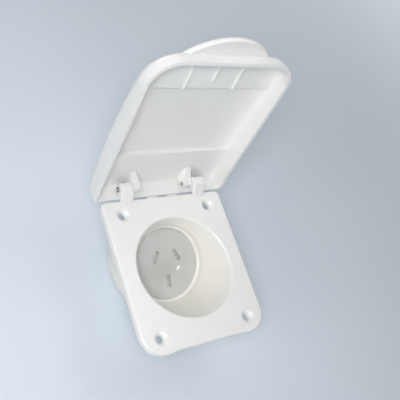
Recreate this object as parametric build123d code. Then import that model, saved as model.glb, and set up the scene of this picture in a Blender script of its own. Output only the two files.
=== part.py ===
# Flush recessed mains socket for a caravan or boat wall, with an angled cup and a hinged weather lid.
# Millimetres. +Z points out of the plate's face and +Y towards the hinge. The origin is the centre of
# the four screw holes, on the plate's back plane. The lid is modelled open, on its stop.
import math
import os
from build123d import *

# Plate
plate_w = 76.6
plate_h = 85.4
plate_t = 4.0
plate_skin = 2.5
plate_rim = 2.2
plate_top_corner_r = 3.0
plate_low_corner_r = 12.3
plate_edge_r = 0.9
finger_w = 46.0
finger_d = 0.7
finger_ramp = 2.5
screw_dx = 55.0
screw_dy = 68.4
screw_hole_r = 2.15
screw_sink_r = 3.9
screw_boss_r = 4.6

# Cup and the tilted socket behind it
cup_y = 0.5
cup_mouth_r = 28.95
cup_mouth_edge_r = 1.2
cup_wall = 2.4
socket_y = 9.0
socket_depth = 19.0
socket_tilt = 23.3
socket_r = 22.05
well_h = 4.0
well_edge_r = 3.0
well_corner_r = 1.5
ledge_t = 2.5
ledge_hole_r = 20.4
tube_r = 24.9
tube_bore_r = 22.3
tube_len = 20.4
slip = 0.15

# Socket face, its pin slots and the shutter behind them
face_proud = 0.2
face_edge_r = 0.25
face_fit = 0.08
face_front_t = 0.9
face_lip_r = 21.4
face_lip_t = 0.9
slot_l = 7.2
slot_w = 2.3
live_pin_r = 7.92
earth_pin_r = 10.31
pin_shift = 0.38
live_angle = 120.0
shutter_t = 1.0
shutter_gap = 0.3
shutter_travel = 3.2
shutter_edge = 1.2
shutter_corner_r = 1.0
shutter_ramp = 0.7
window_ease = 0.2

# Contact block, contacts, terminals and their carrier
flange_t = 2.2
chamber_wall = 1.0
chamber_len = 6.4
post_x = 16.2
post_r = 2.8
post_len = 6.8
post_bore_r = 1.1
leaf_t = 0.6
leaf_w = 6.0
leaf_gap = 1.4
leaf_lip = 1.6
leaf_flare = 0.7
tail_w = 2.4
carrier_t = 2.2
collar_wall = 1.7
collar_gap_w = 9.0
block_l = 7.0
block_w = 6.4
block_h = 7.6
block_corner_r = 0.8
wire_hole_r = 1.6
wire_wall = 1.0
terminal_screw_r = 1.5
terminal_head_r = 2.1
carrier_screw_r = 1.05
carrier_screw_bite = 5.4
carrier_head_r = 2.2
carrier_head_h = 1.5
drive_slot_w = 0.7
drive_slot_d = 0.6

# Rear cover and cord clamp
cover_flange_t = 2.5
cover_cap_r = 20.0
cover_cap_h = 15.0
cover_wall = 2.2
cover_edge_r = 2.0
cover_spigot = 2.5
tongue_w = 5.6
tongue_t = 1.3
tongue_tip = 0.4
tooth_h = 1.1
window_w = 4.6
window_h = 1.8
window_from_end = 4.1
entry_r = 4.0
entry_lift = 4.2
entry_collar_r = 5.6
entry_collar_h = 2.4
clamp_l = 20.0
clamp_w = 5.0
clamp_t = 2.6
clamp_corner_r = 1.5
clamp_saddle_r = 4.2
clamp_screw_x = 7.6
clamp_boss_r = 2.4
clamp_boss_h = 7.0
clamp_y = -11.0
clamp_bite = 1.6
clamp_screw_r = 1.05
clamp_screw_bite = 6.0
clamp_head_r = 2.1

# Hinge
hinge_out = 5.9
hinge_z = 5.8
pin_r = 1.0
pin_fit = 0.02
pin_run = 0.06
pin_proud = 0.7
pin_head_r = 1.5
pin_head_t = 0.6
arm_x = 19.8
arm_w = 7.1
arm_root = 2.6
arm_bite = 1.0
arm_ramp = 2.6
arm_edge_r = 0.6
arm_rise = 4.1
arm_end = 2.5
arm_top_r = 2.0
knuckle_r = 2.1
lug_w = 5.6
lug_foot_w = 3.0
lug_gap = 0.3
lug_r = 2.0
lug_foot = 7.6
stop_x = 6.4
stop_w = 6.0
stop_z = 2.6
stop_t = 1.8
stop_gap = 0.3

# Lid, in its closed place
lid_open = 101.1
lid_w = 84.0
lid_wall = 2.2
lid_rim_z = 2.25
lid_rear_rim_z = 1.7
lid_end_gap = 0.5
lid_tab_corner_r = 16.6
lid_hinge_corner_r = 6.0
lid_depth = 15.0
crown_share = 0.64
crown_tab_drop = 6.5
crown_side_drop = 1.6
crown_arc = 60.0
lid_edge_r = 5.2
lid_inner_edge_r = 3.5
lid_run_on = 22.0
nose_r = 5.5
lid_rear_r = 3.0
channel = 3.25
land_tab_depth = 8.0
land_tab_l = 21.0
land_hinge_depth = 9.3
land_hinge_l = 21.5
gusset_x = 14.5
gusset_w = 0.9
rib_l = 16.0
gusset_h = 1.0
nib_w = 6.0
nib_out = 0.7
nib_root = 0.5
nib_h = 1.6
nib_rise = 0.6
tab_r = 31.4
tab_out = 10.2
tab_inset = 0.05
tab_t = 2.6
tab_edge_r = 0.9

# Working places
hinge_y = plate_h / 2 + hinge_out
lid_end_y = -plate_h / 2 - lid_end_gap - lid_wall
crown_reach = crown_share * (hinge_y - lid_end_y)
crown_y = lid_end_y + crown_reach
crown_long_r = (crown_reach ** 2 + crown_tab_drop ** 2) / (2 * crown_tab_drop)
crown_cross_r = ((lid_w / 2) ** 2 + crown_side_drop ** 2) / (2 * crown_side_drop)
land_tab_y = lid_end_y + lid_wall + land_tab_l
land_hinge_y = hinge_y - land_hinge_l
crown_z = lid_rim_z + lid_depth
socket_z = plate_t - socket_depth
socket_place = Location((0, socket_y, socket_z), (socket_tilt, 0, 0))
flange_r = tube_bore_r - slip
pocket_top = face_proud - face_front_t
shutter_top = pocket_top - shutter_gap
shutter_back = shutter_top - shutter_t
plug_top = shutter_back - shutter_gap
block_top = -ledge_t - face_lip_t
block_base = block_top - flange_t
carrier_front = block_base - post_len
carrier_back = carrier_front - carrier_t
collar_back = -tube_len + cover_spigot
cover_flange_back = -tube_len - cover_flange_t
cover_back = cover_flange_back - cover_cap_h
cover_floor = cover_back + cover_wall
entry_z = cover_floor + entry_lift
clamp_seat = cover_floor + clamp_boss_h
window_s = tube_len - window_from_end
tongue_reach = window_from_end + window_h / 2 + tongue_tip
far = 60.0
over = 1.0
tiny = 0.01


def disc(r, back, front, x=0.0, y=0.0):
    return Pos(x, y, back) * Cylinder(r, front - back, align=(Align.CENTER, Align.CENTER, Align.MIN))


def ring(r_out, r_in, back, front):
    return disc(r_out, back, front) - disc(r_in, back, front)


def rod_y(r, y0, y1, z):
    return Pos(0, (y0 + y1) / 2, z) * Rot(90, 0, 0) * Cylinder(r, y1 - y0)


def slab(x0, x1, y0, y1, z0, z1):
    return Pos((x0 + x1) / 2, (y0 + y1) / 2, (z0 + z1) / 2) * Box(x1 - x0, y1 - y0, z1 - z0)


def side_cut(profile, x0, x1):
    # A side profile drawn in the YZ plane, carried from x0 to x1.
    return Pos(x0, 0, 0) * extrude(Plane.YZ * profile, x1 - x0, dir=(1, 0, 0))


def mirrored(shape):
    return mirror(shape, Plane.YZ)


def screw(shank_r, shank_len, head_r, head_h):
    # Head seated at z = 0 with its top at head_h, shank along -Z, one straight drive slot.
    body = disc(shank_r, -shank_len, 0) + disc(head_r, 0, head_h)
    return body - slab(-head_r, head_r, -drive_slot_w / 2, drive_slot_w / 2, head_h - drive_slot_d, head_h)


def pin_sites():
    # The three pin places on the socket face: angle of the long side and centre.
    reach = math.radians(live_angle - 90)
    live_y = live_pin_r * math.sin(reach) + pin_shift
    live_x = live_pin_r * math.cos(reach)
    lean = live_angle - 90
    return {
        "active": Location((-live_x, live_y, 0), (0, 0, 90 - lean)),
        "neutral": Location((live_x, live_y, 0), (0, 0, 90 + lean)),
        "earth": Location((0, -earth_pin_r + pin_shift, 0), (0, 0, 90)),
    }


def plate_outline():
    outline = Rectangle(plate_w, plate_h)
    rows = outline.vertices().group_by(Axis.Y)
    outline = fillet(rows[0], plate_low_corner_r)
    outline = fillet(outline.vertices().group_by(Axis.Y)[-1], plate_top_corner_r)
    low = -plate_h / 2
    half = finger_w / 2
    scoop = Polygon((-half, low), (half, low), (half - finger_ramp, low + finger_d),
                    (finger_ramp - half, low + finger_d), align=None)
    return outline - scoop


def cup(mouth_r, floor_r, above=0.0):
    # A flared mouth over a short straight well that ends on the tilted socket face.
    mouth = Pos(0, cup_y, plate_t) * Circle(mouth_r)
    throat = socket_place * Pos(0, 0, well_h) * Circle(floor_r)
    body = loft([mouth, throat], ruled=True) + socket_place * disc(floor_r, 0, well_h)
    if above:
        body += disc(mouth_r, plate_t, plate_t + above, y=cup_y)
    return body


def hinge_arm():
    top = hinge_z + arm_rise
    low = hinge_z - knuckle_r
    edge = plate_h / 2
    end = hinge_y + arm_end
    profile = Polygon(
        (edge - arm_root, plate_t - arm_bite), (edge - plate_edge_r, plate_t - arm_bite),
        (edge - plate_edge_r, low), (end, low), (end, top), (edge + arm_ramp, top),
        (edge - arm_root, plate_t), align=None)
    corners = profile.vertices().group_by(Axis.X)[-1].sort_by(Axis.Y)
    profile = fillet(corners[0], knuckle_r)
    profile = fillet(profile.vertices().sort_by_distance((end, top))[0], arm_top_r)
    arm = side_cut(profile, arm_x, arm_x + arm_w)
    ends = arm.faces().sort_by(Axis.X)
    arm = fillet(ends[0].edges() + ends[-1].edges(), arm_edge_r)
    return arm - side_cut(Pos(hinge_y, hinge_z) * Circle(pin_r + pin_fit), 0, far)


def stop_nub():
    reach = stop_face_y() - stop_gap
    return slab(stop_x - stop_w / 2, stop_x + stop_w / 2, plate_h / 2 - plate_rim, reach,
                stop_z - stop_t / 2, stop_z + stop_t / 2)


def stop_face_y():
    # Nearest reach of the open lid's rear rim to the plate.
    turn = math.radians(lid_open)
    drop = hinge_z - lid_rear_rim_z
    out = math.sqrt(nose_r ** 2 - drop ** 2)
    return hinge_y + out * math.cos(turn) - drop * math.sin(turn)


def make_faceplate():
    outline = plate_outline()
    plate = extrude(outline, plate_t)
    plate = fillet(plate.faces().sort_by(Axis.Z)[-1].edges(), plate_edge_r)
    plate -= extrude(offset(outline, -plate_rim, kind=Kind.INTERSECTION), plate_t - plate_skin)
    shell = cup(cup_mouth_r + cup_wall, socket_r + cup_wall)
    shell += socket_place * disc(tube_r, -tube_len, 0)
    # The shell's outside stays under the plate's face.
    body = plate + (shell & slab(-far, far, -far, far, -far, plate_t - plate_edge_r))
    for x in (-screw_dx / 2, screw_dx / 2):
        for y in (-screw_dy / 2, screw_dy / 2):
            body += disc(screw_boss_r, 0, plate_skin, x, y)
            body -= disc(screw_hole_r, 0, plate_t, x, y)
            sink = screw_sink_r - screw_hole_r
            body -= Pos(x, y, plate_t - sink / 2) * Cone(screw_hole_r, screw_sink_r, sink)
    body -= cup(cup_mouth_r, socket_r, above=over)
    body -= socket_place * disc(tube_bore_r, -tube_len, -ledge_t)
    body -= socket_place * disc(ledge_hole_r, -ledge_t, over)
    mouth_edge = body.edges().filter_by(GeomType.CIRCLE).filter_by(
        lambda e: abs(e.radius - cup_mouth_r) < tiny and abs(e.center().Z - plate_t) < tiny)
    body = fillet(mouth_edge, cup_mouth_edge_r)
    for height, round_r in ((well_h, well_edge_r), (0, well_corner_r)):
        spot = (socket_place * Pos(0, 0, height)).position
        well_edge = body.edges().filter_by(GeomType.CIRCLE).filter_by(
            lambda e: abs(e.radius - socket_r) < tiny and (e.arc_center - spot).length < tiny)
        body = fillet(well_edge, round_r)
    window = slab(-far, -tube_bore_r + over, -window_w / 2, window_w / 2,
                  -window_s - window_h / 2, -window_s + window_h / 2)
    body -= socket_place * (window + mirrored(window))
    arm = hinge_arm()
    nub = stop_nub()
    return body + arm + mirrored(arm) + nub + mirrored(nub)


def shutter_outline(shift_low, shift_high, grow):
    # A bar over the two live slots and a stem over the earth slot, for slots moved along X.
    sites = pin_sites()
    live = sites["neutral"].position
    earth = sites["earth"].position
    half_l = slot_l / 2
    half_w = slot_w / 2 + window_ease
    lean = math.radians(live_angle - 90)
    live_half_x = half_l * math.sin(lean) + half_w * math.cos(lean) + shutter_edge
    live_half_y = half_l * math.cos(lean) + half_w * math.sin(lean) + shutter_edge
    bar_x0 = -live.X - live_half_x + shift_low - grow
    bar_x1 = live.X + live_half_x + shift_high + grow
    bar_y0 = live.Y - live_half_y - grow
    bar_y1 = live.Y + live_half_y + grow
    stem_x0 = -half_w - shutter_edge + shift_low - grow
    stem_x1 = half_w + shutter_edge + shift_high + grow
    stem_y0 = earth.Y - half_l - shutter_edge - grow
    outline = Polygon((bar_x0, bar_y0), (stem_x0, bar_y0), (stem_x0, stem_y0), (stem_x1, stem_y0),
                      (stem_x1, bar_y0), (bar_x1, bar_y0), (bar_x1, bar_y1), (bar_x0, bar_y1), align=None)
    return fillet(outline.vertices(), shutter_corner_r)


def pocket(inset, back, front):
    room = shutter_outline(-shutter_travel, shutter_travel, shutter_gap - inset)
    return extrude(Pos(0, 0, back) * room, front - back)


def pin_slots(length, width, back, front):
    slot = slab(-length / 2, length / 2, -width / 2, width / 2, back, front)
    return [place * slot for place in pin_sites().values()]


def make_socket_face():
    face = disc(ledge_hole_r - face_fit, -ledge_t, face_proud)
    face = fillet(face.edges().sort_by(Axis.Z)[-1], face_edge_r)
    face += disc(face_lip_r, block_top, -ledge_t)
    face -= pocket(0, block_top, pocket_top)
    for slot in pin_slots(slot_l, slot_w, pocket_top, face_proud + over):
        face -= slot
    return socket_place * face


def make_shutter():
    # Sliding plate that blocks the slots: its openings stand one travel to the side, below sloped leads.
    outline = shutter_outline(-shutter_travel, 0, 0)
    plate = extrude(Pos(0, 0, shutter_back) * outline, shutter_t)
    for slot in pin_slots(slot_l + 2 * window_ease, slot_w + 2 * window_ease, shutter_back, shutter_top):
        plate -= Pos(-shutter_travel, 0, 0) * slot
    lead = Polygon((-slot_w / 2, shutter_top), (slot_w, shutter_top), (slot_w, shutter_top - shutter_ramp),
                   (slot_w / 2, shutter_top - shutter_ramp), align=None)
    for place in pin_sites().values():
        plate -= place * side_cut(lead, -slot_l / 2, slot_l / 2)
    return socket_place * plate


def make_contact_block():
    # Closes the face's pocket from behind and carries the contact chambers and two screw posts.
    block = disc(flange_r, block_base, block_top) + pocket(slip, block_top, plug_top)
    room_l = slot_l + 2 * chamber_wall
    room_w = 2 * (leaf_gap / 2 + leaf_t + leaf_flare + slip + chamber_wall)
    tower = slab(-room_l / 2, room_l / 2, -room_w / 2, room_w / 2, block_base - chamber_len, block_base)
    hollow = slab(-slot_l / 2, slot_l / 2, -room_w / 2 + chamber_wall, room_w / 2 - chamber_wall,
                  block_base - chamber_len, block_base + flange_t / 2)
    for place in pin_sites().values():
        block += place * tower
    for place in pin_sites().values():
        block -= place * hollow
    for slot in pin_slots(slot_l, slot_w, block_base, plug_top):
        block -= slot
    low = block_base - post_len
    post = disc(post_r, low, block_base, x=post_x) - disc(post_bore_r, low, block_base, x=post_x)
    return socket_place * (block + post + mirrored(post))


def contact(place):
    # One strip folded into two sprung leaves, flared at the mouth, with a tail through the carrier.
    top = block_base + flange_t / 2 - slip
    half = leaf_gap / 2
    bend = top - leaf_lip
    leaf = Polygon(
        (half, carrier_front), (half, bend), (half + leaf_flare, top),
        (half + leaf_flare + leaf_t, top), (half + leaf_t, bend), (half + leaf_t, carrier_front),
        align=None)
    side = side_cut(leaf, -leaf_w / 2, leaf_w / 2)
    fold_top = carrier_front + leaf_t
    fold = slab(-leaf_w / 2, leaf_w / 2, -half - leaf_t, half + leaf_t, carrier_front, fold_top)
    tail = slab(-tail_w / 2, tail_w / 2, -leaf_t / 2, leaf_t / 2, carrier_back, fold_top)
    return socket_place * place * (side + mirror(side, Plane.XZ) + fold + tail)


def terminal(place):
    # A brass block on the back of the carrier: wire hole across, clamping screw from behind.
    block = slab(-block_l / 2, block_l / 2, -block_w / 2, block_w / 2, carrier_back - block_h, carrier_back)
    block = fillet(block.edges().filter_by(Axis.Z), block_corner_r)
    wire_z = carrier_back - wire_hole_r - wire_wall
    block -= rod_y(wire_hole_r, -block_w, block_w, wire_z)
    block -= disc(terminal_screw_r + pin_fit, carrier_back - block_h, wire_z)
    return socket_place * place * block


def terminal_screw(place):
    seat = carrier_back - block_h
    wire_top = carrier_back - 2 * wire_hole_r - wire_wall
    shank = abs(seat - wire_top)
    turned = Rot(180, 0, 0) * screw(terminal_screw_r, shank, terminal_head_r, carrier_head_h)
    return socket_place * place * Pos(0, 0, seat) * turned


def make_carrier():
    base = disc(flange_r, carrier_back, carrier_front)
    collar = ring(flange_r, flange_r - collar_wall, collar_back, carrier_back)
    collar -= slab(-far, far, -collar_gap_w / 2, collar_gap_w / 2, -far, carrier_back)
    base += collar
    for place in pin_sites().values():
        base -= place * slab(-tail_w / 2 - slip, tail_w / 2 + slip, -leaf_t / 2 - slip, leaf_t / 2 + slip,
                             carrier_back, carrier_front)
    for x in (-post_x, post_x):
        base -= disc(carrier_screw_r + slip, carrier_back, carrier_front, x=x)
    return socket_place * base


def make_carrier_screws():
    shank = carrier_t + carrier_screw_bite
    one = Rot(180, 0, 0) * screw(carrier_screw_r, shank, carrier_head_r, carrier_head_h)
    return Compound([socket_place * Pos(x, 0, carrier_back) * one for x in (-post_x, post_x)])


def make_rear_cover():
    # Stepped cap: flange on the tube's end, spigot and two snap tongues inside it, cable entry below.
    cover = disc(tube_r, cover_flange_back, -tube_len)
    cap = disc(cover_cap_r, cover_back, cover_flange_back)
    cover += fillet(cap.edges().sort_by(Axis.Z)[0], cover_edge_r)
    cover += rod_y(entry_collar_r, -cover_cap_r - entry_collar_h, 0, entry_z)
    cover += ring(flange_r, cover_cap_r - cover_wall, -tube_len, collar_back)
    cover -= disc(cover_cap_r - cover_wall, cover_floor, 0)
    inner = flange_r - slip
    tongue = slab(inner - tongue_t, inner, -tongue_w / 2, tongue_w / 2, -tube_len - over,
                  -tube_len + tongue_reach)
    tooth_z = -window_s
    half = window_h / 2 - slip
    tooth = Polygon((inner - tongue_t / 2, tooth_z - half), (inner + tooth_h, tooth_z - half),
                    (inner, tooth_z + half), (inner - tongue_t / 2, tooth_z + half), align=None)
    tooth_w = window_w - 2 * slip
    tongue += Pos(0, tooth_w / 2, 0) * extrude(Plane.XZ * tooth, tooth_w, dir=(0, -1, 0))
    cover += tongue + mirrored(tongue)
    for x in (-clamp_screw_x, clamp_screw_x):
        cover += disc(clamp_boss_r, cover_floor - over, clamp_seat, x, clamp_y)
        cover -= disc(clamp_screw_r, cover_floor, clamp_seat, x, clamp_y)
    return socket_place * (cover - rod_y(entry_r, -far, 0, entry_z))


def make_cord_clamp():
    bar = slab(-clamp_l / 2, clamp_l / 2, clamp_y - clamp_w / 2, clamp_y + clamp_w / 2,
               clamp_seat, clamp_seat + clamp_t)
    bar = fillet(bar.edges().filter_by(Axis.Z), clamp_corner_r)
    bar -= rod_y(clamp_saddle_r, -far, far, clamp_seat + clamp_bite - clamp_saddle_r)
    for x in (-clamp_screw_x, clamp_screw_x):
        bar -= disc(clamp_screw_r + slip, clamp_seat, clamp_seat + clamp_t, x, clamp_y)
    return socket_place * bar


def make_clamp_screws():
    shank = clamp_t + clamp_screw_bite
    one = Pos(0, clamp_y, clamp_seat + clamp_t) * screw(clamp_screw_r, shank, clamp_head_r, carrier_head_h)
    return Compound([socket_place * Pos(x, 0, 0) * one for x in (-clamp_screw_x, clamp_screw_x)])


def make_hinge_pin():
    # Runs through the arm and the lid's lug, with a small head on the outer end.
    inner = arm_x - lug_gap - lug_w - pin_proud
    outer = arm_x + arm_w
    spot = Pos(hinge_y, hinge_z)
    return side_cut(spot * Circle(pin_r), inner, outer) + side_cut(
        spot * Circle(pin_head_r), outer, outer + pin_head_t)


def lid_outline(inset, past_hinge, rear_corner_r):
    # Plan of the lid with large corners at the tab end, drawn on past the hinge line.
    front = lid_end_y + inset
    rear = hinge_y + past_hinge
    outline = Pos(0, (front + rear) / 2) * Rectangle(lid_w - 2 * inset, rear - front)
    outline = fillet(outline.vertices().group_by(Axis.Y)[0], lid_tab_corner_r - inset)
    return fillet(outline.vertices().group_by(Axis.Y)[-1], rear_corner_r)


def lid_block(inset, edge_r):
    # The domed body, its roof edge rounded, drawn on past the hinge and the rim and cut back later.
    plan = lid_outline(inset, lid_run_on, lid_tab_corner_r)
    block = extrude(Pos(0, 0, lid_rim_z - lid_run_on) * plan, far) & crown(inset)
    roof = block.faces().sort_by(Axis.Z)[-1]
    return fillet(roof.edges(), edge_r)


def crown(inset):
    # The lid's shallow dome: an arc across the lid turned about a line along X, far below it.
    top = crown_z - inset
    long_r = crown_long_r - inset
    cross_r = crown_cross_r - inset
    edge = lid_w
    sag = cross_r - math.sqrt(cross_r ** 2 - edge ** 2)
    spin_z = top - long_r
    arc = ThreePointArc((-edge, top - sag), (0, top), (edge, top - sag))
    base = spin_z + long_r / 2
    wall = Polyline((edge, top - sag), (edge, base), (-edge, base), (-edge, top - sag))
    profile = make_face(Plane.XZ * (Curve() + arc + wall))
    spin = Axis((0, 0, spin_z), (1, 0, 0))
    dome = revolve(profile, spin, crown_arc)
    return Pos(0, crown_y, 0) * dome.rotate(spin, -crown_arc / 2)


def lid_tab():
    # Round-ended lift lip that carries the dome on past the end wall and comes out of its rounded edge.
    root_y = lid_end_y + lid_edge_r
    plan = Pos(0, lid_end_y - tab_out + tab_r) * Circle(tab_r)
    plan &= Pos(0, root_y) * Rectangle(far * 2, far * 2, align=(Align.CENTER, Align.MAX))
    lip = (extrude(plan, far) & crown(tab_inset)) - crown(tab_inset + tab_t)
    rim = lip.edges().filter_by(lambda e: e.center().Y < lid_end_y)
    return fillet(rim, tab_edge_r)


def lid_lug():
    # Gusset-shaped ear under the lid's roof, bored for the hinge pin.
    foot_z = lid_rim_z + land_hinge_depth
    foot_y = hinge_y - lug_foot
    profile = Polygon(
        (hinge_y - lug_r, hinge_z), (hinge_y + lug_r, hinge_z), (hinge_y + lug_r, far),
        (foot_y, far), (foot_y, foot_z), align=None)
    profile += Pos(hinge_y, hinge_z) * Circle(lug_r)
    outer = arm_x - lug_gap
    taper = Polygon((outer - lug_w, far), (outer - lug_w, hinge_y - lug_r), (outer - lug_foot_w, foot_y),
                    (outer, foot_y), (outer, far), align=None)
    return side_cut(profile, outer - lug_w, outer) & extrude(taper, far)


def lid_side():
    # Side view of the lid: its rim, a round nose about the hinge, and a rear face that comes to lie
    # along the wall when the lid is open.
    lean = math.radians(lid_open - 90)
    nose_y = hinge_y + nose_r * math.cos(lean)
    nose_z = hinge_z + nose_r * math.sin(lean)
    past = hinge_y - crown_y
    level = math.sqrt(crown_long_r ** 2 - past ** 2)
    roof_z = crown_z - crown_long_r + level
    slope = -past / level
    rise = math.tan(lean)
    edge_y = (nose_y - rise * (roof_z - slope * hinge_y - nose_z)) / (1 + slope * rise)
    edge_z = roof_z + slope * (edge_y - hinge_y)
    front_y = hinge_y - 2 * far
    side = Polygon((front_y, lid_rim_z), (hinge_y, lid_rim_z), (hinge_y, hinge_z), (nose_y, nose_z),
                   (edge_y, edge_z), (front_y, roof_z - 2 * far * slope), align=None)
    side = fillet(side.vertices().sort_by_distance((edge_y, edge_z))[0], lid_rear_r)
    below = Pos(hinge_y, lid_rear_rim_z + far / 2) * Rectangle(2 * far, far)
    return side + (Pos(hinge_y, hinge_z) * Circle(nose_r) & below)


def make_closed_lid():
    outer = lid_block(0, lid_edge_r) & side_cut(lid_side(), -far, far)
    outer &= extrude(lid_outline(-over, nose_r + tiny, lid_hinge_corner_r + over), far)
    outer += lid_tab()
    inner = lid_block(lid_wall, lid_inner_edge_r)
    inner &= slab(-far, far, -far, hinge_y + channel, -far, far)
    land_z = lid_rim_z + land_tab_depth
    end = lid_end_y + lid_wall
    stays = slab(-far, far, -far, land_tab_y, land_z, far)
    stays += slab(-far, far, land_hinge_y, far, lid_rim_z + land_hinge_depth, far)
    for x in (-gusset_x, gusset_x):
        stays += slab(x - gusset_w / 2, x + gusset_w / 2, end, land_tab_y, land_z - gusset_h, far)
    stays += slab(-gusset_w / 2, gusset_w / 2, end, end + rib_l, land_z - gusset_h, far)
    lug = lid_lug()
    stays += lug + mirrored(lug)
    lid = (outer - inner) + (stays & outer)
    nib_z = lid_rim_z + nib_rise
    nib = Polygon((end - nib_root, nib_z), (end + nib_out, nib_z + nib_h / 2),
                  (end - nib_root, nib_z + nib_h), align=None)
    lid += side_cut(nib, -nib_w / 2, nib_w / 2)
    return lid - side_cut(Pos(hinge_y, hinge_z) * Circle(pin_r + pin_run), -arm_x, arm_x)


def make_lid():
    return make_closed_lid().rotate(Axis((0, hinge_y, hinge_z), (1, 0, 0)), -lid_open)


nodes = {}
nodes["faceplate"] = make_faceplate()
nodes["socket_face"] = make_socket_face()
nodes["shutter"] = make_shutter()
nodes["contact_block"] = make_contact_block()
for name, place in pin_sites().items():
    nodes["contact_" + name] = contact(place)
    nodes["terminal_" + name] = terminal(place)
    nodes["terminal_screw_" + name] = terminal_screw(place)
nodes["contact_carrier"] = make_carrier()
nodes["carrier_screws"] = make_carrier_screws()
nodes["rear_cover"] = make_rear_cover()
nodes["cord_clamp"] = make_cord_clamp()
nodes["clamp_screws"] = make_clamp_screws()
nodes["hinge_pin_right"] = make_hinge_pin()
nodes["hinge_pin_left"] = mirrored(make_hinge_pin())
nodes["lid"] = make_lid()

os.makedirs("parts", exist_ok=True)
for name, shape in nodes.items():
    export_step(shape, "parts/" + name + ".step")
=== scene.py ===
import bpy
import math
import numpy as np
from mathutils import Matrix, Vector


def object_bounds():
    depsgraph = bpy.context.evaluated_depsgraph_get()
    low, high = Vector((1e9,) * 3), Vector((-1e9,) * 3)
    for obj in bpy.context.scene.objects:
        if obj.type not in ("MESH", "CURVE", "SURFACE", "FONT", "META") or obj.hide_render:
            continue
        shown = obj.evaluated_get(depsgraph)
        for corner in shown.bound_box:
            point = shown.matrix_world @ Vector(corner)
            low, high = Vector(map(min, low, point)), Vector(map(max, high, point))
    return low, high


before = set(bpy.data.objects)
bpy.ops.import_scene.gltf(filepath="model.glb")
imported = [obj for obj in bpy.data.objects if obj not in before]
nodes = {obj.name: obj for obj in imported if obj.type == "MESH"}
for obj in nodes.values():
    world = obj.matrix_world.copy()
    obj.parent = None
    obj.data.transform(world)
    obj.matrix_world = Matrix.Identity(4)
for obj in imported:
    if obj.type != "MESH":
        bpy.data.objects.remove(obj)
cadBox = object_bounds()
scene = bpy.context.scene
print("frame loaded:", len(nodes), "nodes")


# shader maths: a wrapped socket that adds Math nodes for + - and *
class Sock:
    def __init__(self, tree, out):
        self.tree, self.out = tree, out

    def math(self, operation, a, b):
        made = self.tree.nodes.new("ShaderNodeMath")
        made.operation = operation
        for index, value in enumerate((a, b)):
            if isinstance(value, Sock):
                self.tree.links.new(value.out, made.inputs[index])
            else:
                made.inputs[index].default_value = value
        return Sock(self.tree, made.outputs[0])

    def __add__(self, other): return self.math("ADD", self, other)
    def __radd__(self, other): return self.math("ADD", other, self)
    def __sub__(self, other): return self.math("SUBTRACT", self, other)
    def __rsub__(self, other): return self.math("SUBTRACT", other, self)
    def __mul__(self, other): return self.math("MULTIPLY", self, other)
    def __rmul__(self, other): return self.math("MULTIPLY", other, self)


# the nodes of a material or the world; add() makes every kind but Math
class Shading:
    def __init__(self, owner):
        owner.use_nodes = True
        self.tree = owner.node_tree

    def add(self, kind, settings, values, output=0):
        made = self.tree.nodes.new(kind)
        for key, value in settings.items():
            setattr(made, key, value)
        for key, value in values.items():
            self.put(made.inputs[key], value)
        return Sock(self.tree, made.outputs[output])

    def put(self, socket, value):
        if isinstance(value, Sock):
            self.tree.links.new(value.out, socket)
        else:
            socket.default_value = value

    # 1 for rays from the camera, off a gloss or through something clear
    def seen(self):
        kinds = ("Camera", "Glossy", "Transmission")
        straight, glossy, through = [self.add("ShaderNodeLightPath", {}, {}, "Is %s Ray" % k) for k in kinds]
        return straight + glossy + through

    # two shaders mixed, into the output
    def blend(self, factor, first, second):
        both = self.add("ShaderNodeMixShader", {}, {0: factor, 1: first, 2: second})
        end = next(n for n in self.tree.nodes if n.type.startswith("OUTPUT"))
        self.put(end.inputs["Surface"], both)


# one material with its Principled shader, read in Object coordinates
class Finish(Shading):
    def __init__(self, name):
        self.material = bpy.data.materials.new(name)
        super().__init__(self.material)
        self.shader = next(n for n in self.tree.nodes if n.type == "BSDF_PRINCIPLED")
        self.place = self.add("ShaderNodeTexCoord", {}, {}, "Object")

    def set(self, **values):
        for key, value in values.items():
            self.put(self.shader.inputs[key.replace("_", " ")], value)

    def along(self, axis):
        return self.add("ShaderNodeSeparateXYZ", {}, {"Vector": self.place}, axis)

    def noise(self, scale, detail=2, stretch=(1, 1, 1)):
        spot = self.add("ShaderNodeMapping", {}, {"Vector": self.place, "Scale": stretch})
        return self.add("ShaderNodeTexNoise", {}, {"Vector": spot, "Scale": scale, "Detail": detail}, "Fac")

    def fade(self, value, low, high, a=0.0, b=1.0):
        return self.add("ShaderNodeMapRange", {"interpolation_type": "SMOOTHSTEP"},
                        {"Value": value, "From Min": low, "From Max": high, "To Min": a, "To Max": b})

    def mix(self, factor, a, b):
        return self.add("ShaderNodeMix", {"data_type": "RGBA"}, {"Factor": factor, 6: a, 7: b}, 2)

    # patches: noise scale and detail, the values where they start and are full, their share
    def patches(self, scale, detail, low, high, share=1.0):
        return self.fade(self.noise(scale, detail), low, high, 0, share)

    # roughness: its level, the spread over that, noise scale and detail
    def dull(self, level, spread, scale, detail=2):
        self.set(Roughness=level + spread * self.noise(scale, detail))

    def bump(self, height, depth, strength=1.0, **under):
        values = {"Height": height, "Distance": depth, "Strength": strength}
        return self.add("ShaderNodeBump", {}, {**values, **under})

    # grain: noise scale, depth in metres and strength, over another normal if one is given
    def grain(self, scale, depth, strength=1.0, **under):
        return self.bump(self.noise(scale), depth, strength, **under)


def wear(finish, *names):
    for name in names:
        slots = nodes[name].material_slots
        if len(slots) == 0:
            nodes[name].data.materials.append(finish.material)
        for slot in slots:
            slot.material = finish.material


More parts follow.
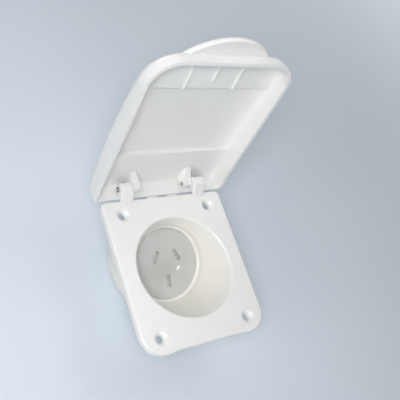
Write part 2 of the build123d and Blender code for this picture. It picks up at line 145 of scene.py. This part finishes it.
# gloss white moulding: faint flow clouds, a few specks, soft orange peel over long waves,
# eased edges, and creamier behind the plate's front, between two heights in metres
shell = {
    "white": (0.835, 0.84, 0.835, 1), "warm": (0.825, 0.82, 0.80, 1), "clouds": (34, 3, 0.42, 0.72, 0.55),
    "cream": (0.85, 0.838, 0.79, 1), "creamFrom": 0.0025, "creamFull": -0.004,
    "speck": (0.58, 0.57, 0.55, 1), "specks": (2600, 1, 0.80, 0.86, 0.35),
    "rough": (0.25, 0.12, 140, 3), "peel": (700, 0.000012), "waves": (55, 0.00006, 0.5),
    "edge": 0.00035, "edgeSamples": 6, "coat": 0.3, "coatRough": 0.14,
    "sink": 0.2, "sinkDepth": 0.003, "sinkTint": (1.0, 1.0, 0.9),
}


def shellFinish():
    f = Finish("shellWhite")
    tone = f.mix(f.patches(*shell["clouds"]), shell["white"], shell["warm"])
    tone = f.mix(f.fade(f.along("Z"), shell["creamFull"], shell["creamFrom"], 1, 0), tone, shell["cream"])
    f.set(Base_Color=f.mix(f.patches(*shell["specks"]), tone, shell["speck"]))
    f.dull(*shell["rough"])
    eased = f.add("ShaderNodeBevel", {"samples": shell["edgeSamples"]}, {"Radius": shell["edge"]})
    f.set(Normal=f.grain(*shell["waves"], Normal=f.grain(*shell["peel"], Normal=eased)))
    f.set(Coat_Weight=shell["coat"], Coat_Roughness=shell["coatRough"], Subsurface_Weight=shell["sink"],
          Subsurface_Radius=shell["sinkTint"], Subsurface_Scale=shell["sinkDepth"])
    return f


# the glossy round face, and the duller shutter that shows in its slots; both greys carry painted shade: the
# face the shade deep in the cup, the shutter the shade inside the slots
# the face's grey is painted shade of the cup on a white moulding
insert = {"white": (0.56, 0.565, 0.55, 1), "shade": (0.51, 0.515, 0.50, 1), "clouds": (60, 3, 0.4, 0.7),
          "rough": (0.28, 0.12, 300), "grain": (900, 0.000006), "coat": 0.5, "coatRough": 0.04}
# the shutter's darker grey is painted shade of the slots on a white shutter
shutter = {**insert, "white": (0.51, 0.50, 0.47, 1), "shade": (0.47, 0.46, 0.43, 1),
           "rough": (0.40, 0.12, 300), "coat": 0.0}


def insertFinish(name, tones):
    f = Finish(name)
    f.set(Base_Color=f.mix(f.patches(*tones["clouds"]), tones["white"], tones["shade"]))
    f.dull(*tones["rough"])
    f.set(Normal=f.grain(*tones["grain"]), Coat_Weight=tones["coat"], Coat_Roughness=tones["coatRough"])
    return f


# rear cover: white with a fine sparked texture
cover = {"white": (0.78, 0.785, 0.775, 1), "shade": (0.71, 0.715, 0.70, 1), "clouds": (50, 3, 0.35, 0.7),
         "rough": (0.48, 0.15, 1500), "grain": (2200, 0.00004, 0.6)}


def coverFinish():
    f = Finish("coverSparked")
    f.set(Base_Color=f.mix(f.patches(*cover["clouds"]), cover["white"], cover["shade"]))
    f.dull(*cover["rough"])
    f.set(Normal=f.grain(*cover["grain"]))
    return f


# mouldings inside: matte off-white
inner = {"white": (0.62, 0.62, 0.585, 1), "shade": (0.56, 0.555, 0.51, 1), "clouds": (80, 3),
         "rough": (0.5, 0.12, 900), "grain": (1400, 0.00003, 0.5)}


def innerFinish():
    f = Finish("innerMoulding")
    f.set(Base_Color=f.mix(f.noise(*inner["clouds"]), inner["white"], inner["shade"]))
    f.dull(*inner["rough"])
    f.set(Normal=f.grain(*inner["grain"]))
    return f


# brass: rolled strip is drawn out along Z, sawn bar along X; lines are noise scale and detail
brass = {"bright": (0.60, 0.42, 0.16, 1), "dull": (0.42, 0.28, 0.10, 1), "tarnish": (260, 3, 0.4, 0.75),
         "lines": (900, 2), "lineRough": 0.18, "lineDepth": 0.00002, "lineStrength": 0.4}
rolled = {"stretch": (1, 1, 12), "rough": 0.24}
sawn = {"stretch": (12, 1, 1), "rough": 0.32}


def brassFinish(name, cut):
    f = Finish(name)
    lines = f.noise(*brass["lines"], cut["stretch"])
    f.set(Base_Color=f.mix(f.patches(*brass["tarnish"]), brass["bright"], brass["dull"]), Metallic=1.0)
    f.set(Roughness=cut["rough"] + brass["lineRough"] * lines)
    f.set(Normal=f.bump(lines, brass["lineDepth"], brass["lineStrength"]))
    return f


# zinc plated screws
steel = {"zinc": (0.60, 0.61, 0.62, 1), "grey": (0.47, 0.48, 0.49, 1), "stains": (420, 3, 0.4, 0.7),
         "rough": (0.30, 0.15, 1200), "grain": (1800, 0.00001, 0.4)}


def steelFinish():
    f = Finish("zincScrews")
    f.set(Base_Color=f.mix(f.patches(*steel["stains"]), steel["zinc"], steel["grey"]), Metallic=1.0)
    f.dull(*steel["rough"])
    f.set(Normal=f.grain(*steel["grain"]))
    return f


# dark hinge pins, lighter round their axis, between two radii in metres; the dark tone is painted shade, the
# shade of the gaps round the pins, and makes a shaded ring on their ends
pins = {"dark": (0.26, 0.255, 0.24, 1), "worn": (0.36, 0.355, 0.34, 1), "stains": (420, 3, 0.4, 0.7),
        "bright": (0.85, 0.84, 0.80, 1), "brightTo": 0.0005, "darkFrom": 0.00087,
        "rough": (0.34, 0.15, 1200), "grain": (1800, 0.00001, 0.4)}


def pinFinish():
    f = Finish("hingePins")
    corners = np.array(nodes["hinge_pin_right"].bound_box)
    axisY, axisZ = ((corners.min(0) + corners.max(0)) / 2)[1:]
    y, z = f.along("Y") - axisY, f.along("Z") - axisZ
    # painted shade ring: 1 at the lighter centre, 0 on the shaded ring and the pin's sides
    paintedRingMask = f.fade(y * y + z * z, pins["brightTo"] ** 2, pins["darkFrom"] ** 2, 1, 0)
    tone = f.mix(f.patches(*pins["stains"]), pins["dark"], pins["worn"])
    f.set(Base_Color=f.mix(paintedRingMask, tone, pins["bright"]), Metallic=1.0)
    f.dull(*pins["rough"])
    f.set(Normal=f.grain(*pins["grain"]))
    return f


wear(shellFinish(), "faceplate", "lid")
wear(insertFinish("insertPaintedShade", insert), "socket_face")
wear(insertFinish("shutterPaintedShade", shutter), "shutter")
wear(coverFinish(), "rear_cover")
wear(innerFinish(), "contact_block", "contact_carrier", "cord_clamp")
wear(brassFinish("rolledBrass", rolled), "contact_active", "contact_neutral", "contact_earth")
wear(brassFinish("sawnBrass", sawn), "terminal_active", "terminal_neutral", "terminal_earth")
wear(steelFinish(), "terminal_screw_active", "terminal_screw_neutral", "terminal_screw_earth",
     "carrier_screws", "clamp_screws")
wear(pinFinish(), "hinge_pin_right", "hinge_pin_left")
print("finishes on", len(nodes), "nodes")


# surround: weak as a light, pale where the camera or a reflection sees it
surround = {"light": (0.97, 0.98, 1.0, 1), "strength": 0.12, "seen": (0.74, 0.79, 0.85, 1)}
studio = bpy.data.worlds.new("studio")
scene.world = studio
sky = Shading(studio)
sky.blend(sky.seen(),
          sky.add("ShaderNodeBackground", {}, {"Color": surround["light"], "Strength": surround["strength"]}),
          sky.add("ShaderNodeBackground", {}, {"Color": surround["seen"]}))


# floor: a flat grid of square cells just under the part's lowest point; its paper goes over
# into the surround between two distances from the origin
floorSheet = {"pale": (0.74, 0.82, 0.91, 1), "paler": (0.76, 0.83, 0.92, 1), "clouds": (9, 3), "rough": 0.85,
              "half": 1.6, "cells": 8, "gap": 0.0002, "near": 0.22, "far": 0.75}


def floorFinish():
    f = Finish("floorPaper")
    f.set(Base_Color=f.mix(f.noise(*floorSheet["clouds"]), floorSheet["pale"], floorSheet["paler"]))
    f.set(Roughness=floorSheet["rough"])
    reach = f.add("ShaderNodeVectorMath", {"operation": "LENGTH"}, {0: f.place}, "Value")
    paper = Sock(f.tree, f.shader.outputs[0])
    glow = f.add("ShaderNodeEmission", {}, {"Color": surround["seen"]})
    f.blend(f.fade(reach, floorSheet["near"], floorSheet["far"]) * f.seen(), paper, glow)
    return f


def makeFloor():
    cells = floorSheet["cells"]
    side = np.linspace(-floorSheet["half"], floorSheet["half"], cells + 1)
    x, y = np.meshgrid(side, side)
    z = np.full_like(x, cadBox[0].z - floorSheet["gap"])
    points = np.stack([x, y, z], -1).reshape(-1, 3)
    row = cells + 1  # points in a row
    corner = (np.arange(cells)[:, None] * row + np.arange(cells)).ravel()
    faces = np.stack([corner, corner + 1, corner + row + 1, corner + row], -1)
    mesh = bpy.data.meshes.new("floorSheet")
    mesh.from_pydata(points.tolist(), [], faces.tolist())
    mesh.materials.append(floorFinish().material)
    sheet = bpy.data.objects.new("floorSheet", mesh)
    scene.collection.objects.link(sheet)


makeFloor()
print("floor laid")


# lights: a soft key beside the camera, weak ones around the part and a small lamp for one glint
lamps = {
    "key": {"at": (-0.239, -0.109, 0.359), "size": 0.14, "watts": 1.13, "tint": (1, 0.995, 0.985)},
    "left": {"at": (-0.9, -0.1, 0.45), "size": 0.4, "watts": 1.45, "tint": (1, 0.95, 0.88)},
    "low": {"at": (-0.3, -1.1, 0.25), "size": 0.7, "watts": 2.2, "tint": (1, 0.995, 0.985)},
    "right": {"at": (0.7, 0.2, 0.8), "size": 0.6, "watts": 0.7, "tint": (1, 0.98, 0.95)},
    "back": {"at": (-0.15, 1.0, 0.3), "size": 0.6, "watts": 2.4, "tint": (1, 1, 1)},
    "top": {"at": (0.1, 0.12, 0.6), "size": 0.3, "watts": 0.55, "tint": (1, 1, 1)},
    "spot": {"at": (0.568, -0.482, 0.791), "size": 0.008, "watts": 0.006, "tint": (1, 1, 1)},
}
target = Vector((0, 0.02, 0))  # every lamp faces this point
for name, lamp in lamps.items():
    data = bpy.data.lights.new(name, "AREA")
    data.shape = "DISK"
    data.size = lamp["size"]
    data.energy = lamp["watts"]
    data.color = lamp["tint"]
    light = bpy.data.objects.new(name, data)
    light.location = lamp["at"]
    light.rotation_euler = (target - light.location).to_track_quat("-Z", "Y").to_euler()
    scene.collection.objects.link(light)
print("lights set:", len(lamps))


# camera: left of the part and above it, a little rolled; turns in degrees, lens and sensor in mm
shot = {"place": (-0.1708, -0.0744, 0.2729), "turn": (29.928, -27.646, -21.145), "lens": 53.85,
        "sensor": 36, "nearest": 0.01}
eye = bpy.data.cameras.new("photoView")
eye.sensor_width = shot["sensor"]
eye.lens = shot["lens"]
eye.clip_start = shot["nearest"]
camera = bpy.data.objects.new("photoView", eye)
camera.location = shot["place"]
camera.rotation_euler = [math.radians(v) for v in shot["turn"]]
scene.collection.objects.link(camera)
scene.camera = camera
scene.view_settings.view_transform = "Standard"
print("camera set")
